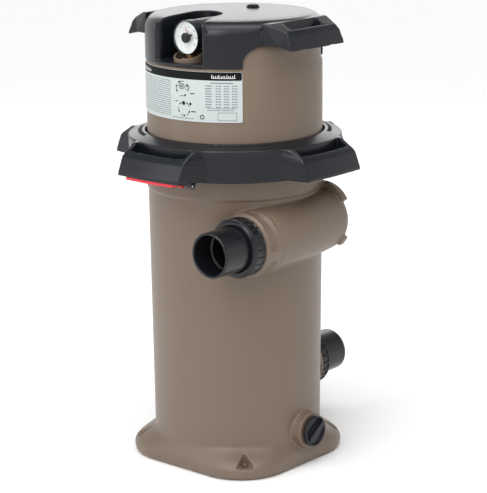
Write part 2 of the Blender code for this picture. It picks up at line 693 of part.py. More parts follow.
def build():
    clear_scene()
    tank_body()
    x, z = UPPER_AXIS
    union_parts("upper_union", UPPER_FACE, (x, 0, z), (0, -1, 0))
    union_parts("lower_union", LOWER_FACE, (0, 0, LOWER_Z), (0, 1, 0))
    drain_parts()
    to_object("head_seal", torus(143.0, 2.7, TANK_TOP - 2.4, ROUND), rubber())
    filter_head()
    head_cover()
    label("front_label", LABEL_LOW, LABEL_HIGH, LABEL_ANGLE)
    lock_ring()
    lever_parts()
    gauge_parts()
    relief_parts()
    cartridge_parts()
    plumbing_parts()


build()
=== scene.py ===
"""Looks of the cartridge filter housing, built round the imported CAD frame.

+Z is up, -Y is the front and +X the port side. Shapes are drawn in millimetres and turned into metres
by solid(); places come from the frame's own boxes.
"""
import math

import bmesh
import bpy
from mathutils import Matrix, Vector


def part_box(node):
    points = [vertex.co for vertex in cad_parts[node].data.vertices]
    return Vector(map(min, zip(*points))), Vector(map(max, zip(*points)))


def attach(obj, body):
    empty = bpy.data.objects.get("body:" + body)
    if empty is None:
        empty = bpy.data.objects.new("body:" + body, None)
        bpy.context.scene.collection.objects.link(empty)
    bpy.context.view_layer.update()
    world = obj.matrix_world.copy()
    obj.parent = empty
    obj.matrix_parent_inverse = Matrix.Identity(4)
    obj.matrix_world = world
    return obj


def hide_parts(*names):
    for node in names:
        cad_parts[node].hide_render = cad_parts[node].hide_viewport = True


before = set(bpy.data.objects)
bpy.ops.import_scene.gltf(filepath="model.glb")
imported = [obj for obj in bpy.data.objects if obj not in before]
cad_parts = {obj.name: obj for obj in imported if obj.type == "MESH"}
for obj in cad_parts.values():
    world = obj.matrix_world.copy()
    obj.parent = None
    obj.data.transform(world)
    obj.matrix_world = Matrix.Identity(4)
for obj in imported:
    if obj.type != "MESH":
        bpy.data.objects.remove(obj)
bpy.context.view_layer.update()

MM = 0.001
FINE = 144                    # sides of the large round pieces
PORT = 96                     # sides of ports, nuts and tails
SMALL = 48                    # sides of knobs and stems
FRONT, BACK, SIDE, UP = (0, -1, 0), (0, 1, 0), (1, 0, 0), (0, 0, 1)


def span(node, axis):
    """The lowest and highest place of a CAD node along one axis, in millimetres."""
    low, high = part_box(node)
    i = "xyz".index(axis)
    return low[i] / MM, high[i] / MM


def centre_of(node, axis):
    return sum(span(node, axis)) / 2


TANK_TOP = span("tank_body", "z")[1]
RING_TOP = span("lock_ring", "z")[1]
RING_REACH = span("lock_ring", "x")[1]
SKIRT_FOOT, DOME_TOP = span("head_cover", "z")
SKIRT_R = span("head_cover", "y")[1]
HEAD_FOOT = span("filter_head", "z")[0]
LABEL_LOW, LABEL_HIGH = span("front_label", "z")
GAUGE_FRONT, GAUGE_BACK = span("gauge_bezel", "y")[0], span("gauge_case", "y")[1]
GAUGE_Z = centre_of("gauge_bezel", "z")
GAUGE_R = span("gauge_bezel", "x")[1]
UPPER_X, UPPER_Z = centre_of("upper_union_tail", "x"), centre_of("upper_union_tail", "z")
UPPER_FACE = -span("upper_union_nut", "y")[1] - 1
LOWER_FACE = span("lower_union_nut", "y")[0] - 1
KNOB_TOP = span("relief_knob", "z")[1]

GAUGE = (0, 0, GAUGE_Z)
UPPER_PORT = (UPPER_X, 0, UPPER_Z)
LOWER_PORT = (0, 0, centre_of("lower_union_tail", "z"))
DRAIN = (0, centre_of("drain_plug", "y"), centre_of("drain_plug", "z"))
RELIEF = (0, centre_of("relief_knob", "y"), 0)

BASE_HALF, BASE_CORNER, BASE_EDGE, FOOT_TOP, ANCHOR_AT = 140.0, 80.0, 12.0, 45.0, 104.0
TANK_FOOT_R, TANK_TOP_R, TANK_NECK_R = 131.2, 135.0, 137.0
TANK_STEP_Z, TANK_BORE, TANK_FLOOR = 431.0, 128.5, 14.0
BARREL_R, BARREL_FRONT, BARREL_BACK, BARREL_RISE = 50.0, 81.0, 67.0, 11.0
COLLAR_R, COLLAR_DEPTH, STUB_R, STUB_LENGTH, PORT_BORE = 46.8, 40.0, 41.4, 18.3, 30.2
NUT_R, NUT_LENGTH, TAIL_R, TAIL_END = 45.0, 25.0, 34.4, 76.5
DRAIN_FACE, DRAIN_BORE, DRAIN_BOSS_R, PLUG_R = 146.0, 14.0, 29.0, 24.5
NECK_FLANGE, LUG_TOP, LUG_COUNT, LUG_HALF = 150.0, 481.0, 8, 9.0
HEAD_R, HEAD_WALL, FLANGE_TOP = 135.0, 6.0, 502.0
RING_LOW, RING_R, RING_LIP, RING_BORE = 464.0, 164.0, 138.2, 160.0
HANDLE_HALF = 62.0
POCKET_FLOOR, POCKET_LINER, HEAD_POCKET = 634.0, 3.2, 4.5
COVER_BORE, ARCH_TOP = 133.3, 661.4
STEM_Y, BOSS_TOP = -97.0, 638.0
CUP_Y, CUP_R, CUP_WALL = -101.0, 24.0, 2.5
LEVER_PIVOT = (-166.0, 461.0)
LABEL_ANGLE, LABEL_FACE = 46.0, HEAD_R + 0.9
INK = 0.08                    # thickness of a printed layer
DIAL_RIM = 24.3


# ---------------- shapes

def loft(rings, closed=False):
    """Skins rings of equal length; closed joins the last ring to the first, else the ends are capped."""
    shape = bmesh.new()
    rows = [[shape.verts.new(point) for point in ring] for ring in rings]
    pairs = list(zip(rows, rows[1:])) + ([(rows[-1], rows[0])] if closed else [])
    for low, high in pairs:
        for i in range(len(low)):
            j = (i + 1) % len(low)
            shape.faces.new((low[i], low[j], high[j], high[i]))
    if not closed:
        shape.faces.new(rows[0][::-1])
        shape.faces.new(rows[-1])
    return shape


def lathe(profile, sides, closed=False, wave=None):
    """Turns (radius, height) points about Z; a third value is how far wave(angle) pulls the radius in."""
    rings = []
    for radius, height, *depth in profile:
        ring = []
        for i in range(sides):
            angle = math.tau * i / sides
            reach = radius - (depth[0] * wave(angle) if depth else 0.0)
            ring.append((reach * math.cos(angle), reach * math.sin(angle), height))
        rings.append(ring)
    return loft(rings, closed)


def disc(radius, low, high, sides=SMALL):
    return lathe([(radius, low), (radius, high)], sides)


def tube(outer, inner, low, high, sides=PORT):
    return lathe([(outer, low), (outer, high), (inner, high), (inner, low)], sides, closed=True)


def prism(outline, low, high):
    return loft([[(x, y, z) for x, y in outline] for z in (low, high)])


def thread(outer, depth, start, pitch, count):
    """Points of a thread's flank, with every second one sunk by its depth."""
    return [(outer - (depth if k % 2 else 0.0), start + pitch * k) for k in range(count)]


def torus(radius, section, height, sides=PORT):
    around = 14
    turns = [math.tau * i / around for i in range(around)]
    points = [(radius + section * math.cos(a), height + section * math.sin(a)) for a in turns]
    return lathe(points, sides, closed=True)


def arc(radius, start, end, steps, centre=(0.0, 0.0)):
    """Points on a circle between two angles in degrees."""
    turn = (end - start) / steps
    angles = [math.radians(start + turn * i) for i in range(steps + 1)]
    return [(centre[0] + radius * math.cos(a), centre[1] + radius * math.sin(a)) for a in angles]


def sector(inner, outer, low, high, middle, half, steps=16):
    """A curved block between two radii, centred on an angle in degrees."""
    edge = arc(outer, middle - half, middle + half, steps)
    return prism(edge + arc(inner, middle + half, middle - half, steps), low, high)


def spin(shape, angle):
    """Turns a shape about Z by an angle in degrees."""
    bmesh.ops.rotate(shape, matrix=Matrix.Rotation(math.radians(angle), 3, "Z"), verts=shape.verts)
    return shape


def facing(origin, direction):
    """The matrix that turns +Z towards direction and moves the origin."""
    turn = Vector(UP).rotation_difference(Vector(direction)).to_matrix().to_4x4()
    return Matrix.Translation(origin) @ turn


def place(shape, origin, direction):
    """Turns a shape drawn along +Z so that +Z points along direction, and moves it to origin."""
    bmesh.ops.transform(shape, matrix=facing(origin, direction), verts=shape.verts)
    return shape


def join(shapes):
    """Puts several shapes that stay apart into one bmesh."""
    whole = bmesh.new()
    for shape in shapes:
        mesh = bpy.data.meshes.new("part")
        shape.to_mesh(mesh)
        whole.from_mesh(mesh)
        shape.free()
        bpy.data.meshes.remove(mesh)
    return whole


def solid(name, shape, finish=None):
    """Makes an object in metres from a bmesh in millimetres."""
    crease = math.radians(32)
    bmesh.ops.recalc_face_normals(shape, faces=shape.faces)
    bmesh.ops.scale(shape, vec=(MM, MM, MM), verts=shape.verts)
    mesh = bpy.data.meshes.new(name)
    shape.to_mesh(mesh)
    shape.free()
    mesh.shade_smooth()
    mesh.set_sharp_from_angle(angle=crease)
    made = bpy.data.objects.new(name, mesh)
    bpy.context.scene.collection.objects.link(made)
    if finish:
        mesh.materials.append(FINISH[finish])
    return made


def bake_modifiers(item):
    """Replaces an object's mesh by what its modifiers make of it."""
    ready = item.evaluated_get(bpy.context.evaluated_depsgraph_get())
    result = bpy.data.meshes.new_from_object(ready)
    item.modifiers.clear()
    item.data = result
    result.name = item.name
    return item


def combine(target, tool, operation="UNION"):
    """Joins or cuts target with a shape in millimetres or a finished solid, which is used up."""
    if isinstance(tool, bmesh.types.BMesh):
        tool = solid("tool", tool)
    step = target.modifiers.new("step", "BOOLEAN")
    step.operation = operation
    step.object = tool
    bake_modifiers(target)
    bpy.data.objects.remove(tool, do_unlink=True)
    return target


def cut(target, tool):
    return combine(target, tool, "DIFFERENCE")


def mould(item, voxel, rounds):
    """Rounds every edge as a moulding has it: an even remesh in millimetres, then smoothing."""
    remesh = item.modifiers.new("even", "REMESH")
    remesh.mode = "VOXEL"
    remesh.voxel_size = voxel * MM
    remesh.use_smooth_shade = True
    ease = item.modifiers.new("ease", "SMOOTH")
    ease.factor = 0.5
    ease.iterations = rounds
    bake_modifiers(item)
    item.data.shade_smooth()
    return item


def soften(item, width, segments=3, angle=28):
    """Rounds the sharp edges of a crisp solid."""
    edge = item.modifiers.new("edge", "BEVEL")
    edge.width = width * MM
    edge.segments = segments
    edge.limit_method = "ANGLE"
    edge.angle_limit = math.radians(angle)
    edge.harden_normals = True
    bake_modifiers(item)
    return item


def paint(item, finish):
    item.data.materials.clear()
    item.data.materials.append(FINISH[finish])
    return item


def piece(item, body, slot, *nodes):
    """Declares a finished piece: the body it rides on and the nodes it stands for. Its material slot is not
    used.
    """
    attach(item, body)
    if nodes:
        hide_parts(*nodes)
    return item


def turned_piece(name, profile, sides, spot, direction, finish, body, slot, node):
    """A closed profile turned about an axis, placed and declared."""
    made = solid(name, place(lathe(profile, sides, True), spot, direction), finish)
    return piece(made, body, slot, node)


# ---------------- materials

def link(tree, source, target):
    tree.links.new(source, target)


def noise(tree, where, scale, detail=3.0, roughness=0.5):
    node = tree.nodes.new("ShaderNodeTexNoise")
    node.inputs["Scale"].default_value = scale
    node.inputs["Detail"].default_value = detail
    node.inputs["Roughness"].default_value = roughness
    link(tree, where, node.inputs["Vector"])
    return node.outputs["Fac"]


def spread(tree, value, low, high, start=0.3, end=0.7):
    """Maps start to end onto low to high, and holds the ends."""
    node = tree.nodes.new("ShaderNodeMapRange")
    node.inputs["From Min"].default_value = start
    node.inputs["From Max"].default_value = end
    node.inputs["To Min"].default_value = low
    node.inputs["To Max"].default_value = high
    link(tree, value, node.inputs["Value"])
    return node.outputs["Result"]


def blend_colours(tree, value, first, second):
    node = tree.nodes.new("ShaderNodeMix")
    node.data_type = "RGBA"
    node.inputs["A"].default_value = (*first, 1)
    node.inputs["B"].default_value = (*second, 1)
    link(tree, value, node.inputs["Factor"])
    return node.outputs["Result"]


def finish_of(name, colour, rough, mottle=0.06, grain=1400.0, depth=0.00006, cloud=14.0, metal=0.0,
              specular=0.5):
    """A moulded or turned surface: cloudy colour, uneven gloss and a fine grain in the normal."""
    made = bpy.data.materials.new(name)
    made.use_nodes = True
    tree = made.node_tree
    shader = tree.nodes["Principled BSDF"]
    where = tree.nodes.new("ShaderNodeTexCoord").outputs["Object"]
    dark = tuple(c * (1 - mottle) for c in colour)
    light = tuple(min(1.0, c * (1 + mottle)) for c in colour)
    clouds = noise(tree, where, cloud, 4.0)
    link(tree, blend_colours(tree, clouds, dark, light), shader.inputs["Base Color"])
    patches = noise(tree, where, cloud * 5.3, 5.0, 0.6)
    link(tree, spread(tree, patches, rough * 0.95, rough * 1.05), shader.inputs["Roughness"])
    bump = tree.nodes.new("ShaderNodeBump")
    bump.inputs["Strength"].default_value = 0.5
    bump.inputs["Distance"].default_value = depth
    link(tree, noise(tree, where, grain, 2.0), bump.inputs["Height"])
    link(tree, bump.outputs["Normal"], shader.inputs["Normal"])
    shader.inputs["Metallic"].default_value = metal
    shader.inputs["Specular IOR Level"].default_value = specular
    return made


TAN = (0.152, 0.109, 0.078)
BLACK = (0.0072, 0.0088, 0.0118)
PIPE = (0.008, 0.009, 0.011)
INK_BLACK = (0.006, 0.007, 0.008)


def make_finishes():
    """Every finish of the object by name."""
    clear = finish_of("clear_lens", (0.92, 0.96, 0.96), 0.05, 0.01, depth=0.000005)
    clear.node_tree.nodes["Principled BSDF"].inputs["Alpha"].default_value = 0.13
    return {
        "tan": finish_of("tan_plastic", TAN, 0.40, 0.035, 900.0, 0.00008, 9.0),
        "black": finish_of("black_plastic", BLACK, 0.29, 0.08, 700.0, 0.000003, 16.0, specular=0.33),
        "pipe": finish_of("pipe_plastic", PIPE, 0.22, 0.1, 1200.0, 0.00001, 20.0, specular=0.35),
        "red": finish_of("red_plastic", (0.64, 0.02, 0.04), 0.38, 0.05),
        "rubber": finish_of("rubber", (0.013, 0.013, 0.014), 0.62, 0.2, 2200.0, 0.00012),
        "white": finish_of("white_plastic", (0.78, 0.79, 0.77), 0.45, 0.02),
        "film": finish_of("label_film", (0.47, 0.52, 0.51), 0.38, 0.02, 700.0, 0.00003, 11.0),
        "ink": finish_of("label_ink", INK_BLACK, 0.6, 0.1, 1600.0, 0.00002, 60.0, specular=0.1),
        "grey_ink": finish_of("label_grey", (0.16, 0.185, 0.20), 0.45, 0.08, 1600.0, 0.00002, 60.0),
        "dial": finish_of("dial_plate", (0.80, 0.83, 0.82), 0.35, 0.02),
        "lens": clear,
        "brass": finish_of("brass", (0.62, 0.33, 0.11), 0.30, 0.1, 1800.0, 0.00005, 60.0, 1.0),
        "steel": finish_of("stainless_steel", (0.56, 0.57, 0.58), 0.28, 0.06, 2600.0, 0.00005, 70.0, 1.0),
        "fabric": finish_of("filter_fabric", (0.82, 0.85, 0.87), 0.92, 0.04, 2600.0, 0.0003, 40.0),
        "urethane": finish_of("cap_urethane", (0.09, 0.21, 0.44), 0.5, 0.06),
        "mesh": finish_of("strainer_mesh", (0.28, 0.29, 0.30), 0.6, 0.2, 1300.0, 0.0004, 90.0),
    }


FINISH = make_finishes()


# ---------------- tank

def foot_radius(angle):
    """Distance from the axis to the rounded square foot's edge."""
    folded = abs((angle + math.pi / 4) % (math.pi / 2) - math.pi / 4)
    flat = BASE_HALF - BASE_CORNER
    if BASE_HALF * math.tan(folded) <= flat:
        return BASE_HALF / math.cos(folded)
    reach = flat * math.sqrt(2)
    off = folded - math.pi / 4
    return reach * math.cos(off) + math.sqrt(BASE_CORNER ** 2 - (reach * math.sin(off)) ** 2)


def foot_rings():
    """The foot's rim, rounded underneath, then the slope from the square foot to the round tank."""
    steps, undercut, undercut_top = 18, 6.0, 9.0
    rows = [(height, 0.0) for height in (0.0, 1.0, 3.0, 6.0)]
    for i in range(steps + 1):
        share = i / steps
        eased = share ** 1.25
        rows.append((BASE_EDGE + (FOOT_TOP - BASE_EDGE) * share, eased * eased * (3 - 2 * eased)))
    rings = []
    for height, blend in rows:
        ring = []
        under = undercut * max(0.0, 1 - height / undercut_top) ** 2
        for i in range(FINE):
            angle = math.tau * i / FINE
            reach = foot_radius(angle) * (1 - blend) + TANK_FOOT_R * blend - under
            ring.append((reach * math.cos(angle), reach * math.sin(angle), height))
        rings.append(ring)
    return rings


def circle(radius, height):
    return [(x, y, height) for x, y in arc(radius, 0, 360 * (FINE - 1) / FINE, FINE - 1)]


def tank_outside():
    outer = [(TANK_TOP_R, TANK_STEP_Z), (TANK_NECK_R, TANK_STEP_Z + 1), (TANK_NECK_R, 474.0),
             (NECK_FLANGE, LUG_TOP + 1.5), (NECK_FLANGE, TANK_TOP)]
    return loft(foot_rings() + [circle(r, z) for r, z in outer])


def add_port(body, face, spot, direction):
    """Adds a port's collar, a raised frame round sunk panels, and its threaded stub."""
    rim = COLLAR_R + 2.2
    flank = [(rim, face - COLLAR_DEPTH), (rim, face - 3), (rim - 3, face), (STUB_R, face)]
    collar = solid("collar", lathe(flank + thread(STUB_R, 0.8, face + 1, 1.5, 12), PORT))
    for middle, half in ((47.0, 50.0), (-50.0, 26.0), (180.0, 56.0)):
        cut(collar, sector(COLLAR_R - 2.6, rim + 8, face - 25, face - 6.5, middle, half, 40))
    collar.data.transform(facing(Vector(spot) * MM, direction))
    combine(body, collar)


def anchor_pocket(sx, sy):
    """The three-cornered recess over an anchor hole, which opens at the foot's edge."""
    plan = [(137.0, 0.0), (167.0, -18.0), (167.0, 18.0)]
    return spin(prism(plan, 18.5, 60), math.degrees(math.atan2(sy, sx)))


def barrel(rows):
    """A barrel along Y from (y, lift, radius) rows."""
    rings = []
    for y, lift, radius in rows:
        ring = arc(radius, 0, 360 - 360 / PORT, PORT - 1, (UPPER_X, UPPER_Z + lift))
        rings.append([(x, y, z) for x, z in ring])
    return loft(rings)


def barrel_rows(wall=0.0):
    """Rows of the upper barrel, which rises and swells towards its back, or of the chamber in it."""
    steps, swell = 12, 2.0
    rows = []
    for k in range(steps + 1):
        share = k / steps
        y = -BARREL_FRONT + (BARREL_FRONT + BARREL_BACK) * share
        rows.append((y, BARREL_RISE * share, BARREL_R + swell * math.sin(math.pi * share) - wall))
    return rows


def barrel_pad(angle, half, proud):
    """A raised pad on the barrel's back edge, at an angle in degrees from +X towards +Z."""
    x, z = arc(proud, angle, angle, 1)[0]
    centre = (UPPER_X, 0, UPPER_Z + BARREL_RISE)
    block = disc(BARREL_R, BARREL_BACK - 3, BARREL_BACK + 9, PORT)
    pad = solid("pad", place(block, (centre[0] + x, 0, centre[2] + z), BACK))
    wedge = sector(BARREL_R - 8, BARREL_R + 20, 50, 90, -angle, half)
    return combine(pad, place(wedge, centre, BACK), "INTERSECT")


def make_tank():
    body = solid("tank_shell", tank_outside())
    nose = [(-BARREL_FRONT - 4, 0.0, BARREL_R - 2.2)]
    tail = [(BARREL_BACK + 6, BARREL_RISE, BARREL_R - 1.5), (BARREL_BACK + 11, BARREL_RISE, BARREL_R - 5),
            (BARREL_BACK + 14, BARREL_RISE, BARREL_R - 12)]
    combine(body, barrel(nose + barrel_rows() + tail))
    add_port(body, UPPER_FACE, UPPER_PORT, FRONT)
    combine(body, place(disc(BARREL_R, 118, LOWER_FACE - 29, PORT), LOWER_PORT, BACK))
    add_port(body, LOWER_FACE, LOWER_PORT, BACK)
    combine(body, barrel_pad(62.0, 26.0, 8.5))
    combine(body, barrel_pad(-38.0, 9.0, 4.0))
    boss = [(DRAIN_BOSS_R + 3, 118), (DRAIN_BOSS_R, DRAIN_FACE - 6), (DRAIN_BOSS_R, DRAIN_FACE)]
    combine(body, place(lathe(boss, PORT), DRAIN, SIDE))
    bore_tank(body)
    paint(mould(body, 1.5, 4), "tan")
    return piece(body, "tank", "tan_plastic", "tank_body")


def bore_tank(body):
    """Cuts the inside, water ways, seal grooves and anchor pockets, and adds the neck lugs."""
    cut(body, lathe([(TANK_BORE - 16, TANK_FLOOR), (TANK_BORE - 4, TANK_FLOOR + 12),
                     (TANK_BORE, TANK_STEP_Z), (TANK_BORE, TANK_TOP + 10)], FINE))
    cut(body, tube(146.3, 139.7, TANK_TOP - 5.5, TANK_TOP + 5, FINE))
    cut(body, barrel(barrel_rows(7.0)))
    cut(body, place(disc(PORT_BORE, BARREL_FRONT - 8, UPPER_FACE + 40, PORT), UPPER_PORT, FRONT))
    cut(body, place(disc(PORT_BORE, 118, LOWER_FACE + 40, PORT), LOWER_PORT, BACK))
    for face, spot, direction in ((UPPER_FACE, UPPER_PORT, FRONT), (LOWER_FACE, LOWER_PORT, BACK)):
        end = face + STUB_LENGTH
        cut(body, place(tube(38.2, 32.8, end - 4.2, end + 2), spot, direction))
    cut(body, place(disc(DRAIN_BORE, 110, DRAIN_FACE + 10), DRAIN, SIDE))
    for sx in (-1, 1):
        for sy in (-1, 1):
            cut(body, anchor_pocket(sx, sy))
            cut(body, place(disc(5.0, -5, 60, 32), (sx * ANCHOR_AT, sy * ANCHOR_AT, 0), UP))
    for i in range(LUG_COUNT):
        middle = 360 * (i + 0.5) / LUG_COUNT
        combine(body, sector(146.8, 158.0, LUG_TOP + 1.5, TANK_TOP - 1, middle, LUG_HALF))


# ---------------- ports

def rib_wave(count, width):
    """1 in the valleys and 0 on the ribs of a gripped rim."""
    def wave(angle):
        share = (angle * count / math.tau) % 1.0
        return 0.0 if share < width else 1.0
    return wave


def make_union(name, face, spot, direction, nut_body):
    """A ribbed union nut, the pipe tail in it and their seal."""
    wave = rib_wave(24, 0.30)
    lip = TAIL_R + 0.8
    nut = [(NUT_R - 1.6, face + 1), (NUT_R - 0.4, face + 1.6), (NUT_R, face + 2.6),
           (NUT_R, face + 4.0, 1.7), (NUT_R, face + 17.0, 1.7), (NUT_R, face + 18.2),
           (NUT_R - 0.2, face + 20.6), (NUT_R - 2.6, face + 21.6), (NUT_R - 3.6, face + NUT_LENGTH - 0.8),
           (NUT_R - 4.6, face + NUT_LENGTH), (lip + 1.2, face + NUT_LENGTH), (lip, face + NUT_LENGTH - 1),
           (lip, face + 21.7), (STUB_R + 1.1, face + 21.7), (STUB_R + 1.1, face + 1)]
    ring = solid(name + "_nut_ring", place(lathe(nut, 240, True, wave), spot, direction), "pipe")
    piece(soften(ring, 0.35, 2), nut_body, "black_plastic", name + "_nut")
    low = face + STUB_LENGTH + 0.3
    end = face + TAIL_END
    tail = [(40.6, low), (40.6, low + 2.6), (TAIL_R + 0.4, low + 2.6), (TAIL_R + 0.1, face + 40),
            (TAIL_R - 0.3, end - 1.6), (TAIL_R - 1.4, end), (PORT_BORE + 1.2, end), (PORT_BORE, end - 1.4),
            (PORT_BORE - 0.2, face + 40), (PORT_BORE - 3.2, face + 38.6), (PORT_BORE - 3.2, low)]
    pipe = solid(name + "_pipe", place(lathe(tail, FINE, True), spot, direction), "pipe")
    piece(soften(pipe, 0.5), "tank", "black_plastic", name + "_tail")
    seal = torus(35.5, 1.75, face + STUB_LENGTH - 1.95)
    piece(solid(name + "_ring", place(seal, spot, direction), "rubber"), "tank", "rubber", name + "_seal")


def rounded_bar(length, width):
    """Plan of a bar with half-round ends."""
    half, radius = length / 2 - width / 2, width / 2
    return arc(radius, -90, 90, 10, (half, 0)) + arc(radius, 90, 270, 10, (-half, 0))


def make_drain():
    """The dished drain plug with its grip bar, and its seal."""
    rim, bar_angle = DRAIN_FACE + 3.4, 125
    screw = thread(DRAIN_BORE - 1.4, -0.8, DRAIN_FACE - 14, 1.1, 14)
    dish = [(DRAIN_BORE - 0.6, rim), (PLUG_R - 0.8, rim), (PLUG_R, rim + 1), (PLUG_R, rim + 4.4),
            (PLUG_R - 1, rim + 5.6), (PLUG_R - 2.6, rim + 6), (PLUG_R - 3.8, rim + 4.6),
            (PLUG_R - 4.6, rim + 2.0)]
    plug = solid("drain_cap", place(lathe(screw + dish, PORT), DRAIN, SIDE))
    bar = spin(prism(rounded_bar(42.0, 9.0), rim + 1, rim + 9), bar_angle)
    combine(plug, place(bar, DRAIN, SIDE))
    paint(mould(plug, 0.45, 5), "black")
    piece(plug, "drain_plug", "black_plastic", "drain_plug")
    seal = solid("drain_ring", place(torus(18.5, 1.5, DRAIN_FACE + 1.8), DRAIN, SIDE), "rubber")
    piece(seal, "drain_seal", "rubber", "drain_plug_seal")


# ---------------- head and cover

def dome(offset, low):
    """The head's wall, its set-in band and its shouldered dome, as (radius, height) points."""
    shoulder = [(104 + 28.2 * x, 648 + 37 * y) for x, y in arc(1.0, 0, 81, 9)]
    wall = [(HEAD_R, low), (HEAD_R, 625.0), (132.7, SKIRT_FOOT + 0.3)]
    points = wall + shoulder + [(60, 686.5), (6, 688)]
    return [(r - offset, z - (offset if z > low else 0)) for r, z in points]


def grown(outline, by):
    """An anticlockwise plan outline with every edge moved outwards by the same distance."""
    moved = []
    for i, (x, y) in enumerate(outline):
        before, after = outline[i - 1], outline[(i + 1) % len(outline)]
        first = Vector((y - before[1], before[0] - x)).normalized()
        second = Vector((after[1] - y, x - after[0])).normalized()
        step = (first + second) * by / (1 + first.dot(second))
        moved.append((x + step.x, y + step.y))
    return moved


def pocket_outline(grow=0.0):
    """Plan of the gauge pocket: flared front corners, a right wall that slants in, and a blunt back."""
    plan = [(57, -160), (54, -126.5), (50, -126), (46.5, -124.6), (43.6, -120.5), (30, -86), (21, -56),
            (15.5, -44), (9, -36.5), (-2, -30.5), (-13, -27.4), (-24, -27), (-33, -30.5), (-38.5, -37.5),
            (-41, -46), (-41, -60), (-37.2, -120), (-38.2, -124.6), (-41, -127.6), (-45, -129), (-47, -160)]
    return grown(plan, grow)


def stem_cup(low):
    """The head's cup round the gauge stem, whose rim rises towards the back and clears the gauge."""
    inner, slope = CUP_R - CUP_WALL, 0.3
    rings = []
    for radius, rim in ((CUP_R, False), (CUP_R, True), (inner, True), (inner, False)):
        ring = arc(radius, 0, 360 - 360 / PORT, PORT - 1, (0, CUP_Y))
        rings.append([(x, y, BOSS_TOP + slope * (y - CUP_Y + CUP_R) if rim else low) for x, y in ring])
    cup = solid("cup", loft(rings, closed=True))
    return cut(cup, place(disc(GAUGE_R + 1.2, 50, 114, PORT), GAUGE, FRONT))


def make_head():
    flange = [(NECK_FLANGE - 1, HEAD_FOOT), (NECK_FLANGE, HEAD_FOOT + 1), (NECK_FLANGE, FLANGE_TOP - 1),
              (NECK_FLANGE - 1, FLANGE_TOP), (HEAD_R + 2.5, FLANGE_TOP), (HEAD_R + 0.7, FLANGE_TOP + 1)]
    head = solid("head_shell", lathe(flange + dome(0, FLANGE_TOP + 3.5), FINE))
    floor = SKIRT_FOOT - 0.7
    cut(head, prism(pocket_outline(HEAD_POCKET), floor, 720))
    inside = solid("inside", lathe([(HEAD_R - HEAD_WALL, HEAD_FOOT - 5)] + dome(HEAD_WALL, 500), FINE))
    cut(inside, prism(pocket_outline(HEAD_POCKET + HEAD_WALL), floor - HEAD_WALL, 720))
    cut(head, inside)
    combine(head, stem_cup(floor - 2))
    boss = lathe([(15.0, floor - 3), (15.0, BOSS_TOP - 1), (14.0, BOSS_TOP)], SMALL)
    combine(head, place(boss, (0, STEM_Y, 0), UP))
    cut(head, place(disc(5.2, floor - 15, BOSS_TOP + 5), (0, STEM_Y, 0), UP))
    combine(head, place(disc(15.0, 678, 690.5), RELIEF, UP))
    cut(head, place(disc(5.2, 660, 700), RELIEF, UP))
    paint(soften(head, 0.7, 2, 40), "tan")
    return piece(head, "head", "tan_plastic", "filter_head")


def cover_outside():
    """The cover's skirt, rounded shoulder and low dome."""
    across, up, low = 20.0, 22.0, 675.0
    bend = [(SKIRT_R - across + across * x, low + up * y) for x, y in arc(1.0, 0, 84, 12)]
    top = [(r, DOME_TOP - 1.8 * (r / 100.0) ** 2) for r in (108.0, 96.0, 80.0, 60.0, 40.0, 20.0, 8.0)]
    return lathe([(SKIRT_R, SKIRT_FOOT)] + bend + top, FINE)


def cover_handle(side):
    """A grip at +X or -X: an outer face that leans in, and a top that slopes down to it."""
    under = [(118.0, ARCH_TOP + 0.6, 72.0), (141.0, ARCH_TOP + 0.6, 66.0), (165.0, 656.5, 62.0)]
    over = [(161.5, 666.0, 61.5), (156.5, 678.0, 61.0), (151.5, 684.0, 58.0), (126.0, 694.5, 67.0),
            (116.0, 694.5, 72.0)]
    rings = []
    for share in (-1, -0.5, 0, 0.5, 1):
        bulge = 1.5 * (1 - share * share)
        ring = [(r + (bulge if r > 145 else 0), share * half, z) for r, z, half in under + over]
        rings.append([(side * r, y, z) for r, y, z in ring])
    return loft(rings)


def hand_slot(side):
    """The cutter for a hand hole of the cover, which leans outwards as it goes down."""
    low = [(side * r, y, 640.0) for r, y in ((139.5, -44), (158, -37), (158, 37), (139.5, 44))]
    high = [(side * r, y, 705.0) for r, y in ((126.5, -38), (143, -43), (143, 43), (126.5, 38))]
    return loft([low, high])


def arch_cutter(side):
    """Cuts the skirt away under a grip, in a smooth arch."""
    rise = [(66 + 27.5 * x, ARCH_TOP - 25.4 + 25.4 * y) for x, y in arc(1.0, 0, 90, 10)]
    foot = SKIRT_FOOT - 9
    outline = [(-93.5, foot)] + [(-y, z) for y, z in rise] + rise[::-1] + [(93.5, foot)]
    return loft([[(side * x, y, z) for y, z in outline] for x in (94, 141)])


